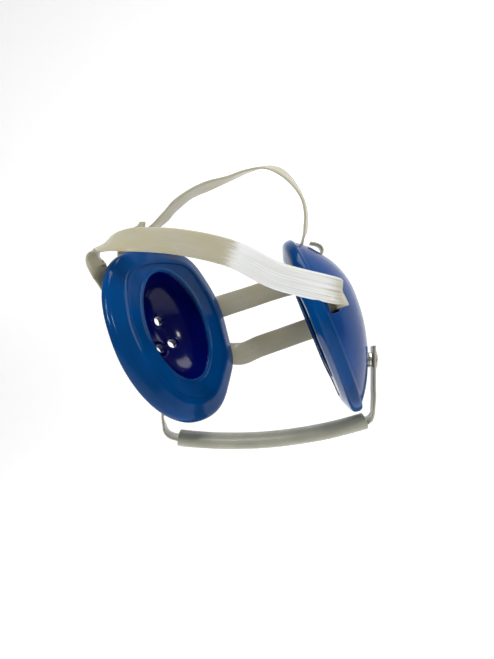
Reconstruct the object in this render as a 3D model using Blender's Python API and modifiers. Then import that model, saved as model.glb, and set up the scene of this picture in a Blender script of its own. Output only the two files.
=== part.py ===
"""Wrestling headgear: two domed ear cups with padded rims, joined by flat vinyl straps.

Metres, +Z up through the crown, +X towards the right ear cup, -Y towards the face.
The origin is the middle of the head space, halfway between the two cups.
Each cup is drawn in its own axes: x outwards from the pad's face, y to the back, z up.
"""
import math

import bmesh
import bpy
from mathutils import Matrix, Vector

MM = 0.001

# Cups: where each one sits (millimetres) and how it is turned (yaw, lean, pitch in degrees).
CUP_CENTRE = {"right": (40.0, 10.0, -9.0), "left": (40.0, -10.0, 9.0)}
CUP_TURN = {"right": (9.0, -11.0, -8.0), "left": (24.0, 11.0, -3.0)}
CUP_RADIUS = 56.0
CUP_TALLER = 0.06        # makes the round outline taller than wide
CUP_TAPER = 0.03         # makes its lower end narrower
DOME_LIFT = 12.0         # the dome's peak stands this far above the cup's centre
RIM_DEPTH = 8.4          # where the shell starts, behind the pad
DOME_FOOT = 11.0
DOME_HEIGHT = 35.0
DOME_FOOT_SCALE = 0.95
DOME_POWER = 0.9
SHELL_THICKNESS = 2.6
CUP_SEGMENTS = 56

# Pad: a foam ring in a vinyl skin, with the oval opening for the ear.
OPENING_HALF_WIDTH = 26.5
OPENING_HALF_HEIGHT = 36.5
OPENING_LIFT = 2.0
PAD_DEPTH = 8.0
PAD_SKIN = 0.9

# Vent holes in the dome, as (back, up) in the cup's axes.
VENT_RADIUS = 3.4
VENTS = ((13.5, 12.5), (17.5, -6.0), (6.0, -7.5))

# Straps and the windows that hold them. Angles run from the top of the cup towards its back.
STRAP_WIDTH = 16.0
STRAP_THICKNESS = 1.5
WINDOW_ANGLE = {"left": {"forehead": -38.0, "crown": -8.0, "upper_back": 78.0, "lower_back": 115.0},
                "right": {"forehead": -79.0, "crown": -8.0, "upper_back": 51.0, "lower_back": 88.0}}
WINDOW_HALF_LENGTH = 9.6
WINDOW_STRAIGHT = 6.5
WINDOW_ARCH = 5.0
WINDOW_INSET = 6.2       # from the rim to the window's straight side
WINDOW_END = 15.5
NOTCH_TOP = 11.3
NOTCH_INSET = 9.6

# The crown window is longer, with its bar halfway along it.
CROWN_START = 1.6
CROWN_BAR_NEAR = 7.3
CROWN_BAR_FAR = 11.9
CROWN_END = 22.9
CROWN_ARCH = 6.5
CROWN_BAR_INSET = 10.5
CROWN_BAR_DEPTH = 18.3

# Chin sleeve: a flattened tube on a shallow arc.
SLEEVE_LEFT = Vector((-55.0, -13.0, -61.0))
SLEEVE_RIGHT = Vector((62.5, 9.0, -74.5))
SLEEVE_SAG = 6.5
SLEEVE_HALF_WIDTH = 10.0
SLEEVE_HALF_HEIGHT = 5.0
SLEEVE_WALL = 1.2

# Snap fasteners on the outer face of each cup.
SNAP_BACK = 2.0
SNAP_DROP = -33.0
STUD_BASE = 0.3
SOCKET_BASE = 1.1
TAB_LEVEL = 3.9
CAP_LEVEL = 4.95
TAB_TOP = -9.0
TAB_BOTTOM = 20.0
TURN_SEGMENTS = 24

MIRROR = Matrix.Diagonal((-1.0, 1.0, 1.0, 1.0))


# ---------------------------------------------------------------- scene and materials

def clear_scene():
    for obj in list(bpy.data.objects):
        bpy.data.objects.remove(obj, do_unlink=True)


def make_collection(name):
    collection = bpy.data.collections.new(name)
    bpy.context.scene.collection.children.link(collection)
    return collection


def make_material(name, colour, roughness, metallic=0.0):
    material = bpy.data.materials.new(name)
    material.use_nodes = True
    shader = material.node_tree.nodes["Principled BSDF"]
    shader.inputs["Base Color"].default_value = (*colour, 1.0)
    shader.inputs["Roughness"].default_value = roughness
    shader.inputs["Metallic"].default_value = metallic
    return material


def make_pivot(name, position, parts):
    pivot = bpy.data.objects.new(name, None)
    pivot.location = position * MM
    parts.objects.link(pivot)
    return pivot


def add_mesh(name, verts, faces, material, collection, pivot=None, smooth_angle=35.0):
    """A mesh object from points in millimetres, with its origin on its pivot."""
    origin = pivot.location if pivot else Vector((0.0, 0.0, 0.0))
    mesh = bpy.data.meshes.new(name)
    mesh.from_pydata([Vector(v) * MM - origin for v in verts], [], faces)
    bm = bmesh.new()
    bm.from_mesh(mesh)
    bmesh.ops.recalc_face_normals(bm, faces=bm.faces)
    bm.to_mesh(mesh)
    bm.free()
    mesh.shade_smooth()
    mesh.set_sharp_from_angle(angle=math.radians(smooth_angle))
    mesh.materials.append(material)
    obj = bpy.data.objects.new(name, mesh)
    collection.objects.link(obj)
    obj.parent = pivot
    return obj


def thicken(obj, thickness, offset, outwards=None):
    """Gives an open surface its thickness; outwards is where its last face should look."""
    if outwards and obj.data.polygons[-1].normal.dot(outwards) < 0:
        obj.data.flip_normals()
    solid = obj.modifiers.new("thickness", "SOLIDIFY")
    solid.thickness = thickness * MM
    solid.offset = offset
    solid.use_even_offset = True


def add_cutter(name, bm, collection):
    """Turns a bmesh in world metres into a hidden cutter."""
    bmesh.ops.recalc_face_normals(bm, faces=bm.faces)
    mesh = bpy.data.meshes.new(name)
    bm.to_mesh(mesh)
    bm.free()
    obj = bpy.data.objects.new(name, mesh)
    obj.hide_render = True
    obj.display_type = "WIRE"
    collection.objects.link(obj)
    return obj


def cut(obj, cutter):
    modifier = obj.modifiers.new("cut_" + cutter.name, "BOOLEAN")
    modifier.operation = "DIFFERENCE"
    modifier.solver = "EXACT"
    modifier.object = cutter


# ---------------------------------------------------------------- the cup's own shape

def cup_matrix(side):
    """Cup axes to world, in millimetres. The left cup is the mirror image."""
    yaw, lean, pitch = (math.radians(a) for a in CUP_TURN[side])
    turn = Matrix.Rotation(yaw, 4, "Z") @ Matrix.Rotation(lean, 4, "Y") @ Matrix.Rotation(pitch, 4, "X")
    placed = Matrix.Translation(Vector(CUP_CENTRE[side])) @ turn
    return MIRROR @ placed if side == "left" else placed


def outline_radius(angle):
    """The cup's outline, with the angle measured from +z towards +y."""
    return CUP_RADIUS * (1.0 + CUP_TALLER * math.cos(2 * angle) - CUP_TAPER * math.cos(3 * angle))


def dome_depth(scale):
    """How far out the shell's surface stands where the outline has shrunk to this scale."""
    if scale >= DOME_FOOT_SCALE:
        return DOME_FOOT - (scale - DOME_FOOT_SCALE) * 40.0
    rise = 1.0 - (scale / DOME_FOOT_SCALE) ** 2
    return DOME_FOOT + (DOME_HEIGHT - DOME_FOOT) * rise ** DOME_POWER


def shell_point(scale, angle):
    radius = outline_radius(angle) * scale
    lift = DOME_LIFT * (1.0 - scale)
    return Vector((dome_depth(scale), radius * math.sin(angle), radius * math.cos(angle) + lift))


def shell_point_at(back, up):
    """The point of the shell's outer face above a given y and z, found by halving."""
    low, high = 0.01, 0.98
    for _ in range(40):
        scale = (low + high) / 2
        lifted = up - DOME_LIFT * (1.0 - scale)
        reach = math.hypot(back, lifted)
        if reach > scale * outline_radius(math.atan2(back, lifted)):
            low = scale
        else:
            high = scale
    return Vector((dome_depth(scale), back, up))


def shell_normal_at(back, up):
    step = 0.5
    across = shell_point_at(back + step, up) - shell_point_at(back - step, up)
    along = shell_point_at(back, up + step) - shell_point_at(back, up - step)
    return across.cross(along).normalized()


def angles():
    return [2 * math.pi * i / CUP_SEGMENTS for i in range(CUP_SEGMENTS)]


def ring_faces(rings, count, close_rings):
    """Quads between neighbouring rings of equal count."""
    faces = []
    last = rings if close_rings else rings - 1
    for r in range(last):
        low, high = r * count, ((r + 1) % rings) * count
        for i in range(count):
            j = (i + 1) % count
            faces.append((low + i, low + j, high + j, high + i))
    return faces


# ---------------------------------------------------------------- shell, pad and their cutters

def make_shell(side, material, parts, pivot):
    """The hard dome: an open surface given its thickness by Solidify."""
    to_world = cup_matrix(side)
    rim_scale = 0.985
    rim = [shell_point(rim_scale, a) for a in angles()]
    for point in rim:
        point.x = RIM_DEPTH
    wall = [shell_point(rim_scale, a) for a in angles()]
    verts = rim + wall
    scales = (0.95, 0.92, 0.88, 0.83, 0.76, 0.67, 0.56, 0.44, 0.32, 0.20, 0.09)
    for scale in scales:
        verts += [shell_point(scale, a) for a in angles()]
    rings = len(scales) + 2
    faces = ring_faces(rings, CUP_SEGMENTS, False)
    verts.append(shell_point(0.0, 0.0))
    last_ring = (rings - 1) * CUP_SEGMENTS
    peak = len(verts) - 1
    for i in range(CUP_SEGMENTS):
        faces.append((last_ring + i, last_ring + (i + 1) % CUP_SEGMENTS, peak))
    shell = add_mesh(side + "_shell", [to_world @ v for v in verts], faces, material, parts, pivot, 60.0)
    thicken(shell, SHELL_THICKNESS, -1.0, to_world.to_3x3() @ Vector((1.0, 0.0, 0.0)))
    return shell


def pad_ring(profile, name, side, material, parts, pivot, closed):
    """A ring between the oval opening and the outline. Its section is a list of
    (0 at the opening or 1 at the outline, millimetres from there, depth)."""
    to_world = cup_matrix(side)
    verts = []
    for share, inset, depth in profile:
        for a in angles():
            outer = Vector((0.0, outline_radius(a) * math.sin(a), outline_radius(a) * math.cos(a)))
            inner = Vector((0.0, OPENING_HALF_WIDTH * math.sin(a),
                            OPENING_HALF_HEIGHT * math.cos(a) + OPENING_LIFT))
            across = (outer - inner).normalized()
            point = inner.lerp(outer, share) + across * inset
            point.x = depth
            verts.append(to_world @ point)
    faces = ring_faces(len(profile), CUP_SEGMENTS, closed)
    return add_mesh(name, verts, faces, material, parts, pivot, 50.0)


def make_pad(side, skin_material, foam_material, parts, pivot):
    """A vinyl skin, open at the back, around its foam core."""
    skin_section = [(0, 0.6, PAD_DEPTH), (0, 0.0, 5.0), (0, 0.6, 2.2), (0, 2.6, 0.6), (0, 5.5, 0.0),
                    (1, -9.0, 0.0), (1, -5.5, 0.9), (1, -2.2, 2.8), (1, -0.4, 5.0), (1, -0.4, PAD_DEPTH)]
    foam_section = [(0, 2.2, PAD_DEPTH), (0, 1.6, 5.0), (0, 2.1, 3.3), (0, 3.6, 2.0), (0, 5.9, 1.45),
                    (1, -9.4, 1.45), (1, -6.3, 2.4), (1, -3.5, 4.0), (1, -2.0, 5.5), (1, -1.9, PAD_DEPTH)]
    skin = pad_ring(skin_section, side + "_pad_skin", side, skin_material, parts, pivot, False)
    last = skin.data.polygons[-1]
    middle = cup_matrix(side) @ Vector((0.0, 0.0, OPENING_LIFT)) * MM - pivot.location
    thicken(skin, PAD_SKIN, -1.0, last.center - middle)
    pad_ring(foam_section, side + "_pad_foam", side, foam_material, parts, pivot, True)


def window_axes(side, strap):
    """A window's rim point, its inward direction and its lengthwise direction, in the cup's plane."""
    angle = math.radians(WINDOW_ANGLE[side][strap])
    rim = shell_point(1.0, angle)
    rim.x = 0.0
    along = shell_point(1.0, angle + 0.05) - shell_point(1.0, angle - 0.05)
    along.normalize()
    inward = along.cross(Vector((1.0, 0.0, 0.0)))
    return rim, inward, along


def window_point(side, strap, inset, depth, sideways=0.0):
    rim, inward, along = window_axes(side, strap)
    return rim + inward * inset + along * sideways + Vector((depth, 0.0, 0.0))


def add_prism(bm, outline, depth_vector, to_world):
    """Adds a prism between an outline and its copy, both given in the cup's axes."""
    low = [bm.verts.new((to_world @ p) * MM) for p in outline]
    high = [bm.verts.new((to_world @ (p + depth_vector)) * MM) for p in outline]
    bm.faces.new(low)
    bm.faces.new(reversed(high))
    for i in range(len(outline)):
        j = (i + 1) % len(outline)
        bm.faces.new((low[i], high[i], high[j], low[j]))


def surface_point(side, strap, inset):
    point = window_point(side, strap, inset, 0.0)
    return shell_point_at(point.y, point.z)


def slope_axes(side, strap, start_inset, end_inset):
    """A point of the shell's slope, the direction up the slope there and the outward normal."""
    start = surface_point(side, strap, start_inset)
    slope = (surface_point(side, strap, end_inset) - start).normalized()
    outwards = window_axes(side, strap)[2].cross(slope).normalized()
    return start, slope, outwards * math.copysign(1.0, outwards.x)


def d_outline(start, slope, along, arch):
    """A D shape on the slope: straight beside the bar, arched towards the dome."""
    points = [start - along * WINDOW_HALF_LENGTH, start + along * WINDOW_HALF_LENGTH]
    steps = 10
    for i in range(steps + 1):
        turn = math.pi * i / steps
        reach = WINDOW_STRAIGHT + arch * math.sin(turn)
        points.append(start + along * WINDOW_HALF_LENGTH * math.cos(turn) + slope * reach)
    return points


def add_through(bm, outline, outwards, to_world):
    """Cuts an outline on the slope right through the shell."""
    half_depth = 7.0
    add_prism(bm, [p - outwards * half_depth for p in outline], outwards * (2 * half_depth), to_world)


def add_rim_window(bm, side, strap, to_world):
    """The D window through the shell, and the notch under its bar at the rim."""
    start, slope, outwards = slope_axes(side, strap, WINDOW_INSET, WINDOW_END)
    along = window_axes(side, strap)[2]
    add_through(bm, d_outline(start, slope, along, WINDOW_ARCH), outwards, to_world)
    notch_depth = NOTCH_TOP - PAD_DEPTH + 1.0
    corners = [window_point(side, strap, inset, NOTCH_TOP - notch_depth, sideways)
               for inset, sideways in ((-4.0, -WINDOW_HALF_LENGTH), (-4.0, WINDOW_HALF_LENGTH),
                                       (NOTCH_INSET, WINDOW_HALF_LENGTH),
                                       (NOTCH_INSET, -WINDOW_HALF_LENGTH))]
    add_prism(bm, corners, Vector((notch_depth, 0.0, 0.0)), to_world)


def add_crown_window(bm, side, to_world):
    """The long crown window: a straight slot, the bar, and a D beyond it."""
    along = window_axes(side, "crown")[2] * WINDOW_HALF_LENGTH
    low, _, outwards = slope_axes(side, "crown", CROWN_START, CROWN_BAR_NEAR)
    high = surface_point(side, "crown", CROWN_BAR_NEAR)
    add_through(bm, [low - along, low + along, high + along, high - along], outwards, to_world)
    start, slope, outwards = slope_axes(side, "crown", CROWN_BAR_FAR, CROWN_END)
    add_through(bm, d_outline(start, slope, along.normalized(), CROWN_ARCH), outwards, to_world)


def add_round_hole(bm, centre, axis, radius, length, to_world):
    """A round hole's cutter, centred on a point of the shell."""
    turn = axis.to_track_quat("Z", "Y").to_matrix().to_4x4()
    place = to_world @ Matrix.Translation(centre) @ turn
    place = Matrix.Scale(MM, 4) @ place
    bmesh.ops.create_cone(bm, cap_ends=True, segments=20, radius1=radius, radius2=radius,
                          depth=length, matrix=place)


def cut_shell(side, shell, cutters):
    to_world = cup_matrix(side)
    bm = bmesh.new()
    add_crown_window(bm, side, to_world)
    for strap in ("forehead", "upper_back", "lower_back"):
        add_rim_window(bm, side, strap, to_world)
    for back, up in VENTS:
        add_round_hole(bm, shell_point_at(back, up), shell_normal_at(back, up), VENT_RADIUS, 12.0, to_world)
    origin, outwards, _ = snap_axes()
    add_round_hole(bm, origin, outwards, 2.0, 9.0, to_world)
    cut(shell, add_cutter(side + "_shell_holes", bm, cutters))


# ---------------------------------------------------------------- snap fasteners

def snap_axes():
    """The snap's place on the shell, its outward axis and the way down the shell, in cup axes."""
    origin = shell_point_at(SNAP_BACK, SNAP_DROP)
    outwards = shell_normal_at(SNAP_BACK, SNAP_DROP)
    if outwards.x < 0:
        outwards = -outwards
    down = Vector((0.0, 1.0, 0.0)).cross(outwards).normalized()
    if down.z > 0:
        down = -down
    return origin, outwards, down


def turned(name, side, profile, material, parts, pivot, ring=False):
    """A profile of (radius, height) points turned about the snap's axis."""
    to_world = cup_matrix(side)
    origin, outwards, _ = snap_axes()
    mesh = bpy.data.meshes.new(name)
    edges = [(i, i + 1) for i in range(len(profile) - 1)]
    if ring:
        edges.append((len(profile) - 1, 0))
    mesh.from_pydata([(radius * MM, 0.0, height * MM) for radius, height in profile], edges, [])
    mesh.materials.append(material)
    obj = bpy.data.objects.new(name, mesh)
    parts.objects.link(obj)
    obj.parent = pivot
    obj.location = (to_world @ origin) * MM - pivot.location
    obj.rotation_mode = "QUATERNION"
    obj.rotation_quaternion = (to_world.to_3x3() @ outwards).to_track_quat("Z", "Y")
    screw = obj.modifiers.new("turn", "SCREW")
    screw.steps = TURN_SEGMENTS
    screw.render_steps = TURN_SEGMENTS
    screw.use_merge_vertices = True
    screw.merge_threshold = 0.00001
    screw.use_smooth_shade = True
    return obj


def make_shell_snap(side, material, parts, pivot):
    """The stud on the shell and the eyelet whose barrel holds it from inside."""
    low = STUD_BASE
    stud = [(0.0, 2.7), (0.9, 2.7), (1.9, 2.6), (2.2, 2.0), (1.9, 1.5), (1.9, 0.8), (4.7, 0.8),
            (5.0, 0.6), (5.0, low), (0.0, low)]
    inside = -SHELL_THICKNESS
    eyelet = [(0.0, low - 0.3), (1.6, low - 0.3), (1.6, inside - 0.4), (4.5, inside - 0.4),
              (4.5, inside - 0.8), (4.2, inside - 1.0), (0.0, inside - 1.0)]
    turned(side + "_snap_stud", side, stud, material, parts, pivot)
    turned(side + "_snap_eyelet", side, eyelet, material, parts, pivot)


def make_strap_snap(side, material, parts, pivot):
    """The socket under the strap and the cap whose barrel goes through it."""
    low = SOCKET_BASE
    socket = [(2.6, 2.85), (4.6, 2.85), (5.2, 2.2), (5.0, low), (2.6, low)]
    cap = [(0.0, 6.4), (3.0, 6.3), (5.2, 5.9), (6.2, 5.3), (6.0, CAP_LEVEL), (1.4, CAP_LEVEL),
           (1.4, 3.15), (0.0, 3.15)]
    turned(side + "_snap_socket", side, socket, material, parts, pivot, True)
    turned(side + "_snap_cap", side, cap, material, parts, pivot)


# ---------------------------------------------------------------- straps

def smooth_path(points, per_span):
    """A curve through all points, with as many steps between each pair."""
    path = []
    count = len(points)
    for i in range(count - 1):
        before = points[max(i - 1, 0)]
        start = points[i]
        end = points[i + 1]
        after = points[min(i + 2, count - 1)]
        for step in range(per_span):
            t = step / per_span
            path.append(0.5 * (2 * start + (end - before) * t
                               + (2 * before - 5 * start + 4 * end - after) * t * t
                               + (3 * start - before - 3 * end + after) * t ** 3))
    path.append(points[-1])
    return path


def agreeing(stations):
    """The same stations with every width direction turned to agree with the one before."""
    fixed = []
    for centre, width in stations:
        width = Vector(width).normalized()
        if fixed and width.dot(fixed[-1][1]) < 0:
            width = -width
        fixed.append((Vector(centre), width))
    return fixed


def ribbon(name, stations, material, parts, pivot=None, per_span=3):
    """A flat strap along stations of (centre, width direction), in millimetres."""
    stations = agreeing(stations)
    centres = smooth_path([s[0] for s in stations], per_span)
    widths = smooth_path([s[1] for s in stations], per_span)
    verts = []
    for i, centre in enumerate(centres):
        forward = centres[min(i + 1, len(centres) - 1)] - centres[max(i - 1, 0)]
        forward.normalize()
        width = widths[i] - forward * widths[i].dot(forward)
        width.normalize()
        verts += [centre - width * STRAP_WIDTH / 2, centre + width * STRAP_WIDTH / 2]
    faces = [(i, i + 1, i + 3, i + 2) for i in range(0, len(verts) - 2, 2)]
    strap = add_mesh(name, verts, faces, material, parts, pivot, 40.0)
    thicken(strap, STRAP_THICKNESS, 0.0)
    return strap


# Strap ends at a window, as (millimetres in from the rim, depth), from the strap to its free end.
OVER_BAR = [(-2.6, 8.0), (-0.6, 11.2), (2.2, 14.0), (5.0, 16.6), (7.8, 18.4), (10.2, 18.4),
            (11.3, 15.8), (10.6, 12.6), (8.2, 10.2), (5.0, 9.6), (1.2, 9.6)]
LOOSE_OVER_BAR = [(-5.5, 18.9), (-1.0, 19.0), (3.2, 18.9), (7.2, 19.0), (10.2, 18.4),
                  (11.3, 15.8), (10.6, 12.6), (8.2, 10.2), (5.0, 9.6), (1.2, 9.6)]
ROUND_RIM = [(-2.9, 3.5)]
ROUND_CROWN_BAR = [(3.5, 16.8), (6.3, 14.9), (8.3, 13.6), (10.3, 13.9), (12.6, 16.1), (15.0, 18.3),
                   (16.6, 20.8), (16.6, 23.5), (14.6, 25.6), (11.8, 25.6), (9.3, 23.6), (7.2, 20.4)]


def strap_end(side, strap, loop):
    """A strap's end at its window, in world millimetres, with its width along the bar."""
    to_world = cup_matrix(side)
    along = to_world.to_3x3() @ window_axes(side, strap)[2]
    return [(to_world @ window_point(side, strap, inset, depth), along) for inset, depth in loop]


def in_cup(side, points):
    """Stations given in a cup's axes, as (centre, width direction) in world millimetres."""
    to_world = cup_matrix(side)
    return [(to_world @ Vector(centre), to_world.to_3x3() @ Vector(width)) for centre, width in points]


def forehead_stations():
    """Over the left window's bar, round in an open loop and down across the front to the right window."""
    left = list(reversed(strap_end("left", "forehead", LOOSE_OVER_BAR)))
    turn = in_cup("left", [((18.9, -37.4, 56.2), (0.2, 0.9, 0.5)),
                           ((17.0, -36.4, 60.2), (0.2, 0.9, 0.4)),
                           ((12.8, -35.4, 62.0), (0.2, 0.9, 0.3)),
                           ((6.8, -35.0, 60.6), (0.1, 0.8, 0.6))])
    front = [((-61.2, -34.5, 68.4), (0.1, 0.7, 0.7)),
             ((-52.0, -36.5, 67.2), (0.1, 0.5, 0.9)),
             ((-43.0, -38.5, 65.3), (0.0, 0.4, 0.9)),
             ((-24.4, -39.0, 60.2), (0.0, 0.3, 1.0)),
             ((-3.5, -39.0, 51.8), (0.1, 0.2, 1.0)),
             ((13.3, -39.0, 42.5), (0.2, 0.2, 1.0)),
             ((33.0, -39.0, 27.0), (0.2, 0.1, 1.0)),
             ((42.5, -39.5, 18.5), (0.2, 0.0, 1.0))]
    right = strap_end("right", "forehead", ROUND_RIM + OVER_BAR)
    return left + turn + front + right


def crown_stations():
    """Out of the top of the left cup, over the head and down into the top of the right cup."""
    left = list(reversed(strap_end("left", "crown", ROUND_CROWN_BAR)))
    rise = in_cup("left", [((17.6, -7.4, 57.6), (0.0, 1.0, 0.1)),
                           ((15.6, -6.8, 62.4), (0.1, 1.0, 0.2)),
                           ((10.8, -4.4, 66.0), (0.3, 1.0, 0.2)),
                           ((5.0, -0.4, 67.6), (0.5, 1.0, 0.2))])
    over = [((-54.5, 4.5, 74.0), (0.2, -1.0, 0.1)),
            ((-47.5, 6.4, 77.2), (0.2, -1.0, 0.1)),
            ((-39.5, 8.2, 82.0), (0.3, -0.9, 0.3)),
            ((-31.5, 10.0, 88.2), (0.3, -0.9, 0.3)),
            ((-20.5, 12.0, 93.3), (0.3, -0.9, 0.2)),
            ((-7.5, 13.5, 96.0), (0.2, -1.0, 0.2)),
            ((6.0, 15.0, 97.6), (0.1, -1.0, 0.0)),
            ((19.0, 16.0, 99.6), (0.0, -1.0, -0.1)),
            ((31.6, 15.5, 99.2), (-0.1, -1.0, -0.2)),
            ((40.5, 14.7, 94.0), (-0.2, -1.0, -0.2)),
            ((47.3, 14.5, 84.5), (-0.1, -1.0, -0.1)),
            ((51.3, 14.0, 73.0), (0.0, -1.0, 0.0)),
            ((51.4, 13.4, 62.8), (0.0, -1.0, 0.0)),
            ((49.2, 12.4, 54.2), (0.0, -1.0, 0.0))]
    right = strap_end("right", "crown", ROUND_CROWN_BAR)
    return left + rise + over + right


def upper_back_stations():
    left = list(reversed(strap_end("left", "upper_back", OVER_BAR)))
    middle = [((-16.0, 50.0, 17.0), (0.0, 0.1, -1.0)),
              ((-5.0, 56.0, 18.2), (0.0, 0.1, -1.0)),
              ((9.0, 62.8, 20.0), (0.0, 0.1, -1.0)),
              ((22.0, 67.0, 21.2), (0.0, 0.1, -1.0)),
              ((30.0, 67.6, 21.2), (0.0, 0.1, -1.0))]
    return left + middle + strap_end("right", "upper_back", OVER_BAR)


def lower_back_stations():
    left = list(reversed(strap_end("left", "lower_back", OVER_BAR)))
    middle = [((-14.0, 40.5, -20.0), (0.0, 0.1, -1.0)),
              ((-3.0, 48.5, -18.0), (0.0, 0.1, -1.0)),
              ((14.0, 58.0, -16.0), (0.0, 0.1, -1.0)),
              ((28.0, 64.0, -14.2), (0.0, 0.1, -1.0)),
              ((37.0, 65.8, -13.2), (0.0, 0.1, -1.0))]
    return left + middle + strap_end("right", "lower_back", OVER_BAR)


def sleeve_arc(share):
    """A point on the sleeve's arc and the direction there; share runs from 0 at the left end to 1."""
    chord = SLEEVE_RIGHT - SLEEVE_LEFT
    half = chord.length / 2
    radius = (half * half + SLEEVE_SAG * SLEEVE_SAG) / (2 * SLEEVE_SAG)
    run = chord.normalized()
    across = run.cross(Vector((0.0, 0.0, 1.0))).normalized()
    up = across.cross(run)
    centre = (SLEEVE_LEFT + SLEEVE_RIGHT) / 2 + up * (radius - SLEEVE_SAG)
    turn = math.asin(half / radius) * (2 * share - 1)
    point = centre + (run * math.sin(turn) - up * math.cos(turn)) * radius
    tangent = run * math.cos(turn) + up * math.sin(turn)
    return point, tangent, across, centre


def tab_point(side, down_by, level=TAB_LEVEL):
    """A point on the strap's line past the snap, in world millimetres."""
    origin, outwards, down = snap_axes()
    return cup_matrix(side) @ (origin + down * down_by + outwards * level)


def tab_width(side):
    across = snap_axes()[1].cross(snap_axes()[2])
    world = cup_matrix(side).to_3x3() @ across
    return world if world.y > 0 else -world


def chin_stations():
    """From the left snap, down into the sleeve, along it and up to the fold below the right cup."""
    stations = [(tab_point("left", d), tab_width("left")) for d in (TAB_TOP, -3.0, 3.0, 9.0)]
    stations += [((-63.5, -9.5, -44.0), (0.1, 1.0, 0.0)),
                 ((-63.6, -11.5, -52.0), (0.1, 1.0, 0.0)),
                 ((-61.0, -13.0, -57.5), (0.1, 1.0, 0.0))]
    for share in (0.0, 0.12, 0.3, 0.5, 0.7, 0.88, 1.0):
        point, _, across, _ = sleeve_arc(share)
        stations.append((point, -across))
    stations += [((66.2, 8.8, -73.0), (-0.1, 1.0, 0.0)),
                 ((68.4, 8.0, -69.5), (-0.1, 1.0, 0.0)),
                 (tab_point("right", TAB_BOTTOM + 4.0), tab_width("right")),
                 (tab_point("right", TAB_BOTTOM + 0.7), tab_width("right"))]
    return stations


def add_strap_hole(strap, side, cutters):
    """The hole for the snap cap's barrel."""
    bm = bmesh.new()
    origin, outwards, _ = snap_axes()
    add_round_hole(bm, origin + outwards * TAB_LEVEL, outwards, 1.8, 4.0, cup_matrix(side))
    cut(strap, add_cutter(strap.name + "_hole", bm, cutters))


def make_sleeve(material, parts, pivot):
    """A flattened tube with an open bore, on the sleeve's arc."""
    around = 24
    along = 14
    verts = []
    for i in range(along + 1):
        point, tangent, across, _ = sleeve_arc(i / along)
        up = across.cross(tangent)
        for j in range(around):
            a = 2 * math.pi * j / around
            verts.append(point + across * math.cos(a) * SLEEVE_HALF_WIDTH
                         + up * math.sin(a) * SLEEVE_HALF_HEIGHT)
    sleeve = add_mesh("chin_sleeve", verts, ring_faces(along + 1, around, False), material, parts, pivot)
    middle = sleeve_arc(1.0)[0] * MM - pivot.location
    thicken(sleeve, SLEEVE_WALL, -1.0, sleeve.data.polygons[-1].center - middle)


# ---------------------------------------------------------------- the whole object

def main():
    clear_scene()
    parts = make_collection("wrestling_headgear")
    cutters = make_collection("cutters")
    shell_blue = make_material("shell_blue", (0.01, 0.07, 0.30), 0.15)
    pad_blue = make_material("pad_blue", (0.0, 0.08, 0.28), 0.25)
    foam_grey = make_material("foam_grey", (0.30, 0.30, 0.32), 0.9)
    strap_cream = make_material("strap_cream", (0.72, 0.70, 0.60), 0.4)
    sleeve_grey = make_material("sleeve_grey", (0.45, 0.45, 0.38), 0.35)
    snap_steel = make_material("snap_steel", (0.6, 0.6, 0.58), 0.3, 1.0)

    for side in ("left", "right"):
        pivot_at = cup_matrix(side) @ window_point(side, "crown", CROWN_BAR_INSET, CROWN_BAR_DEPTH)
        pivot = make_pivot(side + "_cup_pivot", pivot_at, parts)
        shell = make_shell(side, shell_blue, parts, pivot)
        cut_shell(side, shell, cutters)
        make_pad(side, pad_blue, foam_grey, parts, pivot)
        make_shell_snap(side, snap_steel, parts, pivot)
        if side == "left":
            make_strap_snap(side, snap_steel, parts, pivot)

    ribbon("forehead_strap", forehead_stations(), strap_cream, parts)
    ribbon("crown_strap", crown_stations(), strap_cream, parts)
    ribbon("upper_back_strap", upper_back_stations(), strap_cream, parts)
    ribbon("lower_back_strap", lower_back_stations(), strap_cream, parts)
    chin = ribbon("chin_strap", chin_stations(), strap_cream, parts)
    add_strap_hole(chin, "left", cutters)

    fold = make_pivot("chin_tab_pivot", tab_point("right", TAB_BOTTOM + 0.35), parts)
    tab_stations = [(tab_point("right", d), tab_width("right"))
                    for d in (TAB_TOP, -3.0, 3.0, 9.0, 15.0, TAB_BOTTOM)]
    tab = ribbon("chin_tab", tab_stations, strap_cream, parts, fold, 1)
    add_strap_hole(tab, "right", cutters)
    make_strap_snap("right", snap_steel, parts, fold)

    sleeve_pivot = make_pivot("chin_sleeve_pivot", sleeve_arc(0.5)[3], parts)
    make_sleeve(sleeve_grey, parts, sleeve_pivot)


main()
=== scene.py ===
"""Looks for the wrestling headgear: smooth cups, padded rims, vinyl straps, chin sleeve and snaps."""
import math

import bmesh
import bpy
from mathutils import Matrix, Vector, noise


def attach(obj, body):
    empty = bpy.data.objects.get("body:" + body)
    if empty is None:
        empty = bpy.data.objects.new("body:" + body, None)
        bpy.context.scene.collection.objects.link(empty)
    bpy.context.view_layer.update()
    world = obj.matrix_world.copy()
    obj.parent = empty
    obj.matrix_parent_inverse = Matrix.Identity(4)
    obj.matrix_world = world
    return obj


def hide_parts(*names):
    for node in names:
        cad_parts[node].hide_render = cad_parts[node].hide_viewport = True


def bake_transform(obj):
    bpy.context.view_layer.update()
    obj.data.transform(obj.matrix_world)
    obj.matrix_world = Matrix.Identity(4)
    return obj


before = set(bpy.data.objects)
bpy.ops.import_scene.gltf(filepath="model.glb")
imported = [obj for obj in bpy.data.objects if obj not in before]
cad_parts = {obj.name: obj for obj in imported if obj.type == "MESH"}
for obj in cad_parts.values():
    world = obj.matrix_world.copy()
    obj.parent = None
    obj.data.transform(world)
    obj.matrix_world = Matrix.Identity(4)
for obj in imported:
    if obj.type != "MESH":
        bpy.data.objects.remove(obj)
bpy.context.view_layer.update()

MM = 0.001
MIRROR = Matrix.Diagonal((-1.0, 1.0, 1.0, 1.0))

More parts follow.
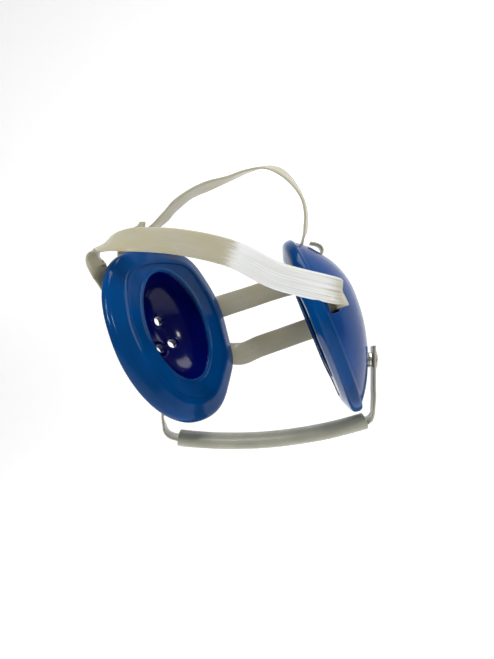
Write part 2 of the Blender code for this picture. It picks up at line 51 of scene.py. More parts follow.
# The cups, as in the CAD model (millimetres and degrees).
CUP_CENTRE = {"right": (40.0, 10.0, -9.0), "left": (40.0, -10.0, 9.0)}
CUP_TURN = {"right": (9.0, -11.0, -8.0), "left": (24.0, 11.0, -3.0)}
CUP_RADIUS = 56.0
CUP_TALLER = 0.06
CUP_TAPER = 0.03
DOME_LIFT = 12.0
DOME_FOOT = 11.0
DOME_HEIGHT = 35.0
DOME_FOOT_SCALE = 0.95
DOME_POWER = 0.9
SHELL_THICKNESS = 2.6
RIM_DEPTH = 8.4
OPENING_HALF_WIDTH = 26.5
OPENING_HALF_HEIGHT = 36.5
OPENING_LIFT = 2.0
BOWL_DEPTH = 30.6
BOWL_EDGE = 3.6
BOWL_MARGIN = 1.6
BOWL_LIFT = 6.0
LINER_THICKNESS = 1.1
VENT_RADIUS = 3.4
VENTS = ((13.5, 12.5), (17.5, -6.0), (6.0, -7.5))

STRAP_WIDTH = 16.0
STRAP_THICKNESS = 1.45
WINDOW_ANGLE = {"left": {"forehead": -38.0, "crown": -8.0, "upper_back": 78.0, "lower_back": 115.0},
                "right": {"forehead": -79.0, "crown": -8.0, "upper_back": 51.0, "lower_back": 88.0}}
WINDOW_HALF_LENGTH = 9.6
WINDOW_STRAIGHT = 6.5
WINDOW_ARCH = 5.0
WINDOW_INSET = 6.2
RIGHT_FOREHEAD_INSET = 4.4
WINDOW_END = 15.5
CROWN_START = 1.6
CROWN_BAR_NEAR = 7.3
CROWN_BAR_FAR = 11.9
CROWN_END = 22.9
CROWN_ARCH = 6.5

SLEEVE_LEFT = Vector((-55.0, -13.0, -61.0))
SLEEVE_RIGHT = Vector((62.5, 9.0, -74.5))
SLEEVE_SAG = 6.5
SLEEVE_HALF_WIDTH = 10.0
SLEEVE_HALF_HEIGHT = 5.0
SLEEVE_WALL = 1.2
SNAP_BACK = 2.0
SNAP_DROP = -33.0
TAB_LEVEL = 3.9
CAP_LEVEL = 4.95
TAB_TOP = -9.0
TAB_BOTTOM = 20.0

# Soft corners (+) and flats (-) of the outline: centre and spread in degrees, reach in millimetres.
OUTLINE_BUMPS = {"left": ((38.0, 15.0, 3.6), (121.0, 15.0, 3.4), (80.0, 30.0, 0.8), (-80.0, 26.0, -2.2),
                          (-34.0, 14.0, 1.2), (160.0, 15.0, 0.8)),
                 "right": ((-80.0, 26.0, -0.5),)}

# How finely the looks are made.
CUP_STEPS = 132
SHELL_VOXEL = 0.62
SHELL_SMOOTHING = 8
CUT_HALF_DEPTH = 7.0
SLOT_CORNER = 1.6
CROWN_SLOT_CORNER = 2.6
SNAP_HOLE_RADIUS = 2.0
VENT_WALL = 1.3
PAD_UNEVENNESS = 0.5
STRAP_FLUTTER = 0.12
SLEEVE_UNEVENNESS = 0.02

# The camera: its lens in millimetres, its place and aim in metres, and its roll in degrees.
CAMERA_LENS = 33.9
CAMERA_PLACE = Vector((0.0813, -0.3916, 0.0200))
CAMERA_AIM = Vector((0.0007, 0.0001, -0.0015))
CAMERA_ROLL = 11.8


# ---------------------------------------------------------------- cup geometry, in millimetres

def cup_matrix(side):
    yaw, lean, pitch = (math.radians(a) for a in CUP_TURN[side])
    turn = Matrix.Rotation(yaw, 4, "Z") @ Matrix.Rotation(lean, 4, "Y") @ Matrix.Rotation(pitch, 4, "X")
    placed = Matrix.Translation(Vector(CUP_CENTRE[side])) @ turn
    return MIRROR @ placed if side == "left" else placed


def outline_radius(angle):
    return CUP_RADIUS * (1.0 + CUP_TALLER * math.cos(2 * angle) - CUP_TAPER * math.cos(3 * angle))


def moulded_radius(side, angle):
    """The outline with the soft corners and flats of the dipped moulding."""
    radius = outline_radius(angle)
    for centre, spread, reach in OUTLINE_BUMPS[side]:
        away = math.remainder(angle - math.radians(centre), 2 * math.pi) / math.radians(spread)
        radius += reach * math.exp(-away * away)
    return radius


def dome_depth(scale):
    if scale >= DOME_FOOT_SCALE:
        return DOME_FOOT - (scale - DOME_FOOT_SCALE) * 40.0
    rise = 1.0 - (scale / DOME_FOOT_SCALE) ** 2
    return DOME_FOOT + (DOME_HEIGHT - DOME_FOOT) * rise ** DOME_POWER


def shell_point(scale, angle):
    radius = outline_radius(angle) * scale
    lift = DOME_LIFT * (1.0 - scale)
    return Vector((dome_depth(scale), radius * math.sin(angle), radius * math.cos(angle) + lift))


def moulded_shell_point(side, scale, angle):
    """A point of the shell's outer face, with the outline's corners fading out towards the peak."""
    point = shell_point(scale, angle)
    extra = (moulded_radius(side, angle) - outline_radius(angle)) * max(0.0, (scale - 0.45) / 0.55) ** 2
    return point + Vector((0.0, math.sin(angle), math.cos(angle))) * extra


def shell_point_at(back, up):
    """The point of the shell's outer face above a given y and z, found by halving."""
    low, high = 0.01, 0.98
    for _ in range(40):
        scale = (low + high) / 2
        lifted = up - DOME_LIFT * (1.0 - scale)
        if math.hypot(back, lifted) > scale * outline_radius(math.atan2(back, lifted)):
            low = scale
        else:
            high = scale
    return Vector((dome_depth(scale), back, up))


def shell_normal_at(back, up):
    step = 0.5
    across = shell_point_at(back + step, up) - shell_point_at(back - step, up)
    along = shell_point_at(back, up + step) - shell_point_at(back, up - step)
    return across.cross(along).normalized()


def window_axes(side, strap):
    """A window's rim point, its inward direction and its lengthwise direction, in the cup's plane."""
    angle = math.radians(WINDOW_ANGLE[side][strap])
    rim = shell_point(1.0, angle)
    rim.x = 0.0
    along = shell_point(1.0, angle + 0.05) - shell_point(1.0, angle - 0.05)
    along.normalize()
    inward = along.cross(Vector((1.0, 0.0, 0.0)))
    return rim, inward, along


def window_point(side, strap, inset, depth, sideways=0.0):
    rim, inward, along = window_axes(side, strap)
    return rim + inward * inset + along * sideways + Vector((depth, 0.0, 0.0))


def surface_point(side, strap, inset):
    point = window_point(side, strap, inset, 0.0)
    return shell_point_at(point.y, point.z)


def slope_axes(side, strap, start_inset, end_inset):
    start = surface_point(side, strap, start_inset)
    slope = (surface_point(side, strap, end_inset) - start).normalized()
    outwards = window_axes(side, strap)[2].cross(slope).normalized()
    return start, slope, outwards * math.copysign(1.0, outwards.x)


def snap_axes():
    """The snap's place on the shell, its outward axis and the way down the shell, in cup axes."""
    origin = shell_point_at(SNAP_BACK, SNAP_DROP)
    outwards = shell_normal_at(SNAP_BACK, SNAP_DROP)
    if outwards.x < 0:
        outwards = -outwards
    down = Vector((0.0, 1.0, 0.0)).cross(outwards).normalized()
    if down.z > 0:
        down = -down
    return origin, outwards, down


# ---------------------------------------------------------------- mesh helpers

def ring_faces(rings, count, close_rings):
    faces = []
    last = rings if close_rings else rings - 1
    for r in range(last):
        low, high = r * count, ((r + 1) % rings) * count
        for i in range(count):
            j = (i + 1) % count
            faces.append((low + i, low + j, high + j, high + i))
    return faces


def new_object(name, verts, faces, materials, smooth_angle=None):
    """An object from points in millimetres."""
    mesh = bpy.data.meshes.new(name)
    mesh.from_pydata([Vector(v) * MM for v in verts], [], faces)
    bm = bmesh.new()
    bm.from_mesh(mesh)
    bmesh.ops.recalc_face_normals(bm, faces=bm.faces)
    bm.to_mesh(mesh)
    bm.free()
    mesh.shade_smooth()
    if smooth_angle:
        mesh.set_sharp_from_angle(angle=math.radians(smooth_angle))
    for material in materials:
        mesh.materials.append(material)
    obj = bpy.data.objects.new(name, mesh)
    bpy.context.scene.collection.objects.link(obj)
    return obj


def settle(obj):
    """Applies every modifier on an object."""
    graph = bpy.context.evaluated_depsgraph_get()
    mesh = bpy.data.meshes.new_from_object(obj.evaluated_get(graph))
    obj.modifiers.clear()
    obj.data = mesh
    return obj


def smooth_path(points, per_span):
    """A curve through all points, with as many steps between each pair."""
    path = []
    count = len(points)
    for i in range(count - 1):
        before = points[max(i - 1, 0)]
        start = points[i]
        end = points[i + 1]
        after = points[min(i + 2, count - 1)]
        for step in range(per_span):
            t = step / per_span
            path.append(0.5 * (2 * start + (end - before) * t
                               + (2 * before - 5 * start + 4 * end - after) * t * t
                               + (3 * start - before - 3 * end + after) * t ** 3))
    path.append(points[-1])
    return path


# ---------------------------------------------------------------- materials

class Paint:
    """Builds one procedural material, node by node."""

    def __init__(self, name):
        self.material = bpy.data.materials.new(name)
        self.material.use_nodes = True
        self.nodes = self.material.node_tree.nodes
        self.links = self.material.node_tree.links
        self.shader = self.nodes["Principled BSDF"]
        self.coords = self.nodes.new("ShaderNodeTexCoord")

    def join(self, output, target):
        self.links.new(output, target)

    def stretched(self, scale, source="Object"):
        mapping = self.nodes.new("ShaderNodeMapping")
        mapping.inputs["Scale"].default_value = scale
        self.join(self.coords.outputs[source], mapping.inputs["Vector"])
        return mapping.outputs["Vector"]

    def noise(self, scale, detail=3.0, vector=None, rough=0.5):
        texture = self.nodes.new("ShaderNodeTexNoise")
        texture.inputs["Scale"].default_value = scale
        texture.inputs["Detail"].default_value = detail
        texture.inputs["Roughness"].default_value = rough
        self.join(vector or self.coords.outputs["Object"], texture.inputs["Vector"])
        return texture.outputs["Fac"]

    def spots(self, scale, vector=None):
        texture = self.nodes.new("ShaderNodeTexVoronoi")
        texture.inputs["Scale"].default_value = scale
        self.join(vector or self.coords.outputs["Object"], texture.inputs["Vector"])
        return texture.outputs["Distance"]

    def ramp(self, value, low, high, out_low=0.0, out_high=1.0):
        node = self.nodes.new("ShaderNodeMapRange")
        node.interpolation_type = "SMOOTHSTEP"
        node.inputs["From Min"].default_value = low
        node.inputs["From Max"].default_value = high
        node.inputs["To Min"].default_value = out_low
        node.inputs["To Max"].default_value = out_high
        self.join(value, node.inputs["Value"])
        return node.outputs["Result"]

    def maths(self, operation, a, b):
        node = self.nodes.new("ShaderNodeMath")
        node.operation = operation
        for socket, value in zip(node.inputs, (a, b)):
            if isinstance(value, float):
                socket.default_value = value
            else:
                self.join(value, socket)
        return node.outputs["Value"]

    def mix(self, factor, a, b):
        node = self.nodes.new("ShaderNodeMix")
        node.data_type = "RGBA"
        self.join(factor, node.inputs["Factor"])
        for socket, value in ((node.inputs[6], a), (node.inputs[7], b)):
            if isinstance(value, tuple):
                socket.default_value = (*value, 1.0)
            else:
                self.join(value, socket)
        return node.outputs[2]

    def colour(self, value):
        self.join(value, self.shader.inputs["Base Color"])

    def roughness(self, value):
        self.join(value, self.shader.inputs["Roughness"])

    def bump(self, layers):
        """Adds bumps of (height, strength, distance in metres), one after another."""
        previous = None
        for height, strength, distance in layers:
            node = self.nodes.new("ShaderNodeBump")
            node.inputs["Strength"].default_value = strength
            node.inputs["Distance"].default_value = distance
            self.join(height, node.inputs["Height"])
            if previous:
                self.join(previous, node.inputs["Normal"])
            previous = node.outputs["Normal"]
        self.join(previous, self.shader.inputs["Normal"])

    def set(self, **values):
        for name, value in values.items():
            self.shader.inputs[name.replace("_", " ")].default_value = value


def blue_vinyl(name, deep, main, rough, shine):
    """Dipped blue vinyl: slow colour drift, fine orange peel, a few specks and rub marks."""
    paint = Paint(name)
    drift = paint.ramp(paint.noise(28.0, 2.0), 0.3, 0.7)
    base = paint.mix(drift, deep, main)
    rubbed = paint.noise(1.0, 4.0, paint.stretched((260.0, 90.0, 700.0)), 0.65)
    marks = paint.ramp(rubbed, 0.68, 0.78, 0.0, 0.35)
    paint.colour(paint.mix(marks, base, tuple(min(1.0, c * 1.6 + 0.02) for c in main)))
    cloud = paint.noise(90.0, 3.0)
    paint.roughness(paint.maths("ADD", paint.ramp(cloud, 0.3, 0.7, rough, rough * 1.5),
                                paint.ramp(rubbed, 0.66, 0.78, 0.0, 0.12)))
    specks = paint.ramp(paint.spots(420.0), 0.05, 0.16)
    paint.bump([(paint.noise(55.0, 2.0), 0.12, 0.0009),
                (paint.noise(900.0, 2.0), 0.03, 0.00008),
                (specks, 0.08, 0.00005)])
    paint.set(Specular_IOR_Level=shine, IOR=1.5)
    return paint.material


def strap_vinyl(name, worn_and_glare=False):
    """Cream vinyl strap: lengthwise drawing lines, yellowing, and, when the second argument is set, a
    white stretch that is partly scuffed wear and partly painted glare.
    """
    paint = Paint(name)
    along = paint.noise(1.0, 3.0, paint.stretched((45.0, 110.0, 1.0), "UV"))
    lines = paint.noise(1.0, 4.0, paint.stretched((14.0, 2400.0, 1.0), "UV"), 0.6)
    stains = paint.noise(1.0, 2.0, paint.stretched((120.0, 160.0, 1.0), "UV"))
    base = paint.mix(paint.ramp(along, 0.35, 0.68), (0.47, 0.445, 0.345), (0.45, 0.415, 0.275))
    base = paint.mix(paint.ramp(lines, 0.52, 0.75, 0.0, 0.45), base, (0.34, 0.31, 0.22))
    base = paint.mix(paint.ramp(stains, 0.72, 0.80, 0.0, 0.6), base, (0.42, 0.30, 0.15))
    rough = paint.ramp(along, 0.3, 0.7, 0.26, 0.4)
    # The white stretch mixed in below is partly scuffed wear and partly painted glare, a highlight painted
    # into the colour.
    if worn_and_glare:
        split = paint.nodes.new("ShaderNodeSeparateXYZ")
        paint.join(paint.coords.outputs["UV"], split.inputs["Vector"])
        length = split.outputs["X"]
        ragged = paint.maths("ADD", length, paint.ramp(lines, 0.2, 0.8, -0.008, 0.008))
        worn_glare_zone = paint.maths("MULTIPLY", paint.ramp(ragged, WORN_GLARE_START, WORN_GLARE_START + 0.005),
                           paint.ramp(ragged, WORN_GLARE_END, WORN_GLARE_END + 0.012, 1.0, 0.0))
        scuffed_and_glare = paint.mix(paint.ramp(lines, 0.42, 0.62), (0.86, 0.88, 0.90), (0.70, 0.69, 0.62))
        base = paint.mix(worn_glare_zone, base, scuffed_and_glare)
    paint.colour(base)
    paint.roughness(rough)
    ripple = paint.noise(1.0, 3.0, paint.stretched((300.0, 300.0, 1.0), "UV"))
    paint.bump([(lines, 0.22, 0.00012), (ripple, 0.10, 0.0002)])
    paint.set(Subsurface_Weight=0.06, Subsurface_Scale=0.002, IOR=1.46, Coat_Weight=0.12,
              Coat_Roughness=0.15)
    return paint.material


def sleeve_foam(name):
    """Closed-cell foam tube with a smooth grey-olive skin."""
    paint = Paint(name)
    drift = paint.ramp(paint.noise(60.0, 3.0), 0.3, 0.7)
    base = paint.mix(drift, (0.27, 0.27, 0.21), (0.32, 0.32, 0.25))
    pores = paint.ramp(paint.spots(1500.0), 0.04, 0.22)
    paint.colour(paint.mix(pores, (0.18, 0.175, 0.13), base))
    paint.roughness(paint.ramp(paint.noise(300.0, 3.0), 0.3, 0.7, 0.34, 0.5))
    paint.bump([(paint.noise(120.0, 3.0), 0.18, 0.0006), (pores, 0.12, 0.0001)])
    paint.set(Coat_Weight=0.12, Coat_Roughness=0.3)
    return paint.material


def snap_steel(name):
    """Nickelled steel with brushing and a little tarnish."""
    paint = Paint(name)
    tarnish = paint.ramp(paint.noise(500.0, 4.0), 0.45, 0.75)
    paint.colour(paint.mix(tarnish, (0.66, 0.65, 0.61), (0.42, 0.39, 0.33)))
    brushed = paint.noise(1.0, 3.0, paint.stretched((900.0, 900.0, 6000.0)))
    paint.roughness(paint.ramp(brushed, 0.3, 0.7, 0.18, 0.36))
    paint.bump([(brushed, 0.15, 0.00004)])
    paint.set(Metallic=1.0)
    return paint.material


# Where the white stretch of the forehead strap starts and ends, in metres along it; the stretch is partly
# scuffed wear and partly painted glare.
WORN_GLARE_START = 0.130
WORN_GLARE_END = 0.190

shell_blue = blue_vinyl("shell_blue", (0.004, 0.040, 0.180), (0.004, 0.062, 0.260), 0.13, 0.22)
shell_inside = blue_vinyl("shell_inside", (0.0006, 0.0020, 0.075), (0.001, 0.004, 0.125), 0.10, 0.2)
pad_blue = blue_vinyl("pad_blue", (0.0005, 0.040, 0.150), (0.0005, 0.058, 0.225), 0.09, 0.14)
strap_cream = strap_vinyl("strap_cream")
# The forehead strap's material: its white stretch is partly scuffed wear and partly painted glare.
strap_worn_and_glare = strap_vinyl("strap_worn_and_glare", True)
sleeve_grey = sleeve_foam("sleeve_grey")
steel = snap_steel("snap_steel")


# ---------------------------------------------------------------- cups

def add_prism(bm, outline, depth_vector, to_world):
    low = [bm.verts.new((to_world @ p) * MM) for p in outline]
    high = [bm.verts.new((to_world @ (p + depth_vector)) * MM) for p in outline]
    bm.faces.new(low)
    bm.faces.new(reversed(high))
    for i in range(len(outline)):
        j = (i + 1) % len(outline)
        bm.faces.new((low[i], high[i], high[j], low[j]))


def add_through(bm, outline, outwards, to_world):
    low = [p - outwards * CUT_HALF_DEPTH for p in outline]
    add_prism(bm, low, outwards * (2 * CUT_HALF_DEPTH), to_world)


def d_outline(start, slope, along, arch):
    """A D shape with small corner radii beside the bar and an arch towards the dome."""
    half = WINDOW_HALF_LENGTH
    corner = SLOT_CORNER
    points = []
    for i in range(5):
        turn = math.pi / 2 * i / 4
        points.append(start - along * (half - corner + corner * math.cos(turn))
                      + slope * (corner - corner * math.sin(turn)))
    for i in range(5):
        turn = math.pi / 2 * (1 - i / 4)
        points.append(start + along * (half - corner + corner * math.cos(turn))
                      + slope * (corner - corner * math.sin(turn)))
    steps = 20
    for i in range(steps + 1):
        turn = math.pi * i / steps
        reach = WINDOW_STRAIGHT + arch * math.sin(turn)
        points.append(start + along * half * math.cos(turn) + slope * reach)
    return points


def add_rim_window(bm, side, strap, to_world):
    inset = RIGHT_FOREHEAD_INSET if (side, strap) == ("right", "forehead") else WINDOW_INSET
    start, slope, outwards = slope_axes(side, strap, inset, WINDOW_END)
    along = window_axes(side, strap)[2]
    add_through(bm, d_outline(start, slope, along, WINDOW_ARCH), outwards, to_world)


def add_crown_window(bm, side, to_world):
    along = window_axes(side, "crown")[2]
    low, slope, outwards = slope_axes(side, "crown", CROWN_BAR_NEAR, CROWN_START)
    steps = 8
    rounded = [low - along * WINDOW_HALF_LENGTH, low + along * WINDOW_HALF_LENGTH]
    reach = (surface_point(side, "crown", CROWN_START) - low).length
    corner = CROWN_SLOT_CORNER
    for end in (1, -1):
        for i in range(steps + 1):
            turn = math.pi / 2 * (i / steps if end == 1 else 1 - i / steps)
            rounded.append(low + along * end * (WINDOW_HALF_LENGTH - corner + corner * math.cos(turn))
                           + slope * (reach - corner + corner * math.sin(turn)))
    add_through(bm, rounded, outwards, to_world)
    start, slope, outwards = slope_axes(side, "crown", CROWN_BAR_FAR, CROWN_END)
    add_through(bm, d_outline(start, slope, along, CROWN_ARCH), outwards, to_world)


def add_round_hole(bm, centre, axis, radius, length, to_world):
    turn = axis.to_track_quat("Z", "Y").to_matrix().to_4x4()
    place = Matrix.Scale(MM, 4) @ to_world @ Matrix.Translation(centre) @ turn
    bmesh.ops.create_cone(bm, cap_ends=True, segments=32, radius1=radius, radius2=radius,
                          depth=length, matrix=place)


def add_cutter(name, bm):
    bmesh.ops.recalc_face_normals(bm, faces=bm.faces)
    mesh = bpy.data.meshes.new(name)
    bm.to_mesh(mesh)
    bm.free()
    cutter = bpy.data.objects.new(name, mesh)
    bpy.context.scene.collection.objects.link(cutter)
    return cutter


def shell_cutter(side):
    """The windows, the vents and the snap's hole as one cutter."""
    to_world = cup_matrix(side)
    holes = bmesh.new()
    add_crown_window(holes, side, to_world)
    for strap in ("forehead", "upper_back", "lower_back"):
        add_rim_window(holes, side, strap, to_world)
    for back, up in VENTS:
        add_round_hole(holes, shell_point_at(back, up), shell_normal_at(back, up), VENT_RADIUS, 12.0,
                       to_world)
    origin, outwards, _ = snap_axes()
    add_round_hole(holes, origin, outwards, SNAP_HOLE_RADIUS, 9.0, to_world)
    return add_cutter(side + "_holes", holes)


def mould(obj):
    """Fuses an object and softens all its edges as dipping does."""
    remesh = obj.modifiers.new("moulded", "REMESH")
    remesh.mode = "VOXEL"
    remesh.voxel_size = SHELL_VOXEL * MM
    relax = obj.modifiers.new("relaxed", "SMOOTH")
    relax.factor = 0.5
    relax.iterations = SHELL_SMOOTHING
    settle(obj)
    obj.data.shade_smooth()


def make_shell(side):
    """The dome: thickened, cut, then remeshed and relaxed so that every edge is softly moulded."""
    to_world = cup_matrix(side)
    angles = [2 * math.pi * i / CUP_STEPS for i in range(CUP_STEPS)]
    verts = [moulded_shell_point(side, 0.985, a) for a in angles]
    for point in verts:
        point.x = RIM_DEPTH - 0.1
    scales = [0.985, 0.968, 0.95] + [0.95 - 0.03 * i for i in range(1, 31)]
    for scale in scales:
        verts += [moulded_shell_point(side, scale, a) for a in angles]
    rings = len(scales) + 1
    faces = ring_faces(rings, CUP_STEPS, False)
    verts.append(shell_point(0.0, 0.0))
    last_ring = (rings - 1) * CUP_STEPS
    for i in range(CUP_STEPS):
        faces.append((last_ring + i, last_ring + (i + 1) % CUP_STEPS, len(verts) - 1))
    shell = new_object(side + "_cup_shell", [to_world @ v for v in verts], faces,
                       [shell_blue, shell_inside])
    outwards = to_world.to_3x3() @ Vector((1.0, 0.0, 0.0))
    if shell.data.polygons[-1].normal.dot(outwards) < 0:
        shell.data.flip_normals()
    solid = shell.modifiers.new("thickness", "SOLIDIFY")
    solid.thickness = SHELL_THICKNESS * MM
    solid.offset = -1.0
    solid.use_even_offset = True
    cutter = shell_cutter(side)
    cut = shell.modifiers.new("cut", "BOOLEAN")
    cut.operation = "DIFFERENCE"
    cut.solver = "MANIFOLD"
    cut.object = cutter
    mould(shell)
    bpy.data.objects.remove(cutter, do_unlink=True)
    inverse = to_world.inverted()
    turn = inverse.to_3x3()
    for face in shell.data.polygons:
        normal = (turn @ face.normal).normalized()
        centre = inverse @ (face.center / MM)
        facing_in = Vector((centre.x * 0.4 - 2.0, centre.y * 0.5, (centre.z - 3.0) * 0.5)).dot(normal) < 0
        face.material_index = 1 if facing_in and centre.x > 9.5 else 0
    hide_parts(side + "_shell")
    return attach(shell, side + "_cup")


# Pad section: (0 at the opening or 1 at the outline, millimetres from there, depth).
PAD_SECTION = [(0, 3.4, 7.9), (0, 2.6, 5.6), (0, 1.4, 3.2), (0, 0.4, 2.2), (0, 0.0, 1.5), (0, 0.25, 0.8),
               (0, 1.0, 0.45), (0, 2.0, 0.55), (0, 3.5, 0.8), (0.5, 0.0, 0.6), (1, -13.5, 0.15),
               (1, -12.0, 0.0), (1, -10.0, 0.3), (1, -7.5, 1.2), (1, -5.0, 2.1), (1, -2.8, 3.0),
               (1, -1.2, 4.2), (1, -0.4, 5.6), (1, -0.1, 7.2), (1, -0.1, 8.8), (1, -0.5, 9.8),
               (1, -1.3, 10.5), (1, -2.2, 10.5), (1, -3.2, 9.0), (0.5, 0.0, 8.2)]


def make_pad(side):
    """The foam ring in its dipped skin, with slight hand-made unevenness."""
    to_world = cup_matrix(side)
    section = smooth_path([Vector(p) for p in PAD_SECTION], 3)
    verts = []
    for share, inset, depth in section:
        for i in range(CUP_STEPS):
            a = 2 * math.pi * i / CUP_STEPS
            outer = Vector((0.0, math.sin(a), math.cos(a))) * moulded_radius(side, a)
            inner = Vector((0.0, OPENING_HALF_WIDTH * math.sin(a),
                            OPENING_HALF_HEIGHT * math.cos(a) + OPENING_LIFT))
            across = (outer - inner).normalized()
            point = inner.lerp(outer, share) + across * inset
            front = max(0.0, 1.0 - depth / 5.0)
            dent = noise.noise(Vector((math.sin(a) * 2.1, math.cos(a) * 2.1, share * 1.3 + inset * 0.05)))
            point.x = depth + PAD_UNEVENNESS * front * (dent + 0.2)
            verts.append(to_world @ point)
    faces = ring_faces(len(section), CUP_STEPS, True)
    pad = new_object(side + "_cup_pad", verts, faces, [pad_blue], 60.0)
    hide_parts(side + "_pad_skin")
    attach(pad, side + "_cup")
    return pad


def bowl_point(share, angle):
    """The cavity's inner face: an oval bowl behind the opening, its share 1 at the edge."""
    depth = BOWL_EDGE + (BOWL_DEPTH - BOWL_EDGE) * math.sqrt(max(0.0, 1.0 - share * share))
    return Vector((depth, (OPENING_HALF_WIDTH + BOWL_MARGIN) * share * math.sin(angle),
                   (OPENING_HALF_HEIGHT + BOWL_MARGIN) * share * math.cos(angle)
                   + OPENING_LIFT + BOWL_LIFT * (1.0 - share)))


def make_liner(side):
    """The cavity's smooth inner face, with a tube through to each vent in the shell."""
    to_world = cup_matrix(side)
    rings = 26
    verts = []
    for r in range(rings):
        share = math.sin(math.pi / 2 * (1.0 - r / rings))
        verts += [bowl_point(share, 2 * math.pi * i / CUP_STEPS) for i in range(CUP_STEPS)]
    faces = ring_faces(rings, CUP_STEPS, False)
    verts.append(bowl_point(0.0, 0.0))
    last_ring = (rings - 1) * CUP_STEPS
    for i in range(CUP_STEPS):
        faces.append((last_ring + i, last_ring + (i + 1) % CUP_STEPS, len(verts) - 1))
    liner = new_object(side + "_cup_liner", [to_world @ v for v in verts], faces, [shell_inside])
    outwards = to_world.to_3x3() @ Vector((1.0, 0.0, 0.0))
    if liner.data.polygons[-1].normal.dot(outwards) < 0:
        liner.data.flip_normals()
    solid = liner.modifiers.new("thickness", "SOLIDIFY")
    solid.thickness = LINER_THICKNESS * MM
    solid.offset = 1.0
    tubes = bmesh.new()
    bores = bmesh.new()
    for back, up in VENTS:
        outer = shell_point_at(back, up)
        axis = shell_normal_at(back, up)
        axis = axis * math.copysign(1.0, axis.x)
        middle = outer - axis * 3.6
        add_round_hole(tubes, middle, axis, VENT_RADIUS + VENT_WALL, 6.4, to_world)
        add_round_hole(bores, middle, axis, VENT_RADIUS - 0.1, 20.0, to_world)
    cutters = [add_cutter(side + "_tubes", tubes), add_cutter(side + "_bores", bores)]
    for cutter, operation in zip(cutters, ("UNION", "DIFFERENCE")):
        change = liner.modifiers.new("tube", "BOOLEAN")
        change.operation = operation
        change.solver = "MANIFOLD"
        change.object = cutter
    mould(liner)
    for cutter in cutters:
        bpy.data.objects.remove(cutter, do_unlink=True)
    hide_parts(side + "_pad_foam")
    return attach(liner, side + "_cup")


# ---------------------------------------------------------------- straps

def agreeing(stations):
    """The same stations with every width direction turned to agree with the one before."""
    fixed = []
    for centre, width in stations:
        width = Vector(width).normalized()
        if fixed and width.dot(fixed[-1][1]) < 0:
            width = -width
        fixed.append((Vector(centre), width))
    return fixed


def strap_frames(stations, per_span=6):
    """Along a strap: (centre, width direction, face direction, millimetres from its start)."""
    stations = agreeing(stations)
    centres = smooth_path([s[0] for s in stations], per_span)
    widths = smooth_path([s[1] for s in stations], per_span)
    frames = []
    length = 0.0
    for i, centre in enumerate(centres):
        forward = centres[min(i + 1, len(centres) - 1)] - centres[max(i - 1, 0)]
        forward.normalize()
        width = widths[i] - forward * widths[i].dot(forward)
        width.normalize()
        if i:
            length += (centre - centres[i - 1]).length
        frames.append((centre, width, forward.cross(width), length))
    return frames


def strap_section():
    """A flat section with rounded edges, as (across, up) in millimetres, anticlockwise."""
    half = STRAP_WIDTH / 2
    thick = STRAP_THICKNESS / 2
    points = []
    for end in (1, -1):
        for i in range(6):
            turn = -math.pi / 2 + math.pi * i / 5
            points.append((end * (half - thick + thick * math.cos(turn)), end * thick * math.sin(turn)))
        for share in (0.5, 0.0, -0.5):
            points.append((end * share * half, end * thick))
    return points


def strap_piece(name, frames, material, caps=(True, True)):
    """A strap along the frames, with lengthwise coordinates in metres as its UV map."""
    section = strap_section()
    count = len(section)
    verts = []
    lengths = []
    for centre, width, face, length in frames:
        flutter = STRAP_FLUTTER * noise.noise(Vector((length * 0.06, 3.1, 0.0)))
        for across, up in section:
            verts.append(centre + width * across + face * (up + flutter))
            lengths.append(length * MM)
    faces = ring_faces(len(frames), count, False)
    if caps[0]:
        faces.append(tuple(range(count)))
    if caps[1]:
        faces.append(tuple(len(verts) - count + i for i in range(count)))
    obj = new_object(name, verts, faces, [material], 50.0)
    uv = obj.data.uv_layers.new(name="UVMap")
    for loop in obj.data.loops:
        across = section[loop.vertex_index % count][0]
        uv.data[loop.index].uv = (lengths[loop.vertex_index], across * MM)
    return obj


# Strap paths at the windows, as (inset from the rim, depth) in millimetres.
OVER_BAR = [(-2.6, 8.0), (-0.6, 11.2), (2.2, 14.0), (5.0, 16.6), (7.8, 18.4), (10.2, 18.4),
            (11.3, 15.8), (10.6, 12.6), (8.2, 10.2), (5.0, 9.6), (1.2, 9.6)]
LOOSE_OVER_BAR = [(-4.5, 14.5), (-1.0, 16.0), (3.2, 17.2), (7.2, 18.6), (10.2, 18.4),
                  (11.3, 15.8), (10.6, 12.6), (8.2, 10.2), (5.0, 9.6), (1.2, 9.6)]
CREASED_END = [(2.4, 20.6), (6.3, 19.4), (8.1, 18.6), (8.6, 17.4), (9.4, 17.1), (11.2, 17.6), (13.0, 17.4),
               (14.2, 16.0), (14.6, 13.5), (13.0, 11.5), (10.0, 10.4), (6.0, 9.8)]
ROUND_CROWN_BAR = [(3.5, 16.8), (6.3, 14.9), (8.3, 13.6), (10.3, 13.9), (12.6, 16.1), (15.0, 18.3),
                   (16.6, 20.8), (16.6, 23.5), (14.6, 25.6), (11.8, 25.6), (9.3, 23.6), (7.2, 20.4)]


def strap_end(side, strap, loop):
    """A strap's end at its window, in world millimetres, with its width along the bar."""
    to_world = cup_matrix(side)
    along = to_world.to_3x3() @ window_axes(side, strap)[2]
    return [(to_world @ window_point(side, strap, inset, depth), along) for inset, depth in loop]


def in_cup(side, points):
    """Stations given in a cup's axes, as (centre, width direction) in world millimetres."""
    to_world = cup_matrix(side)
    return [(to_world @ Vector(centre), to_world.to_3x3() @ Vector(width)) for centre, width in points]


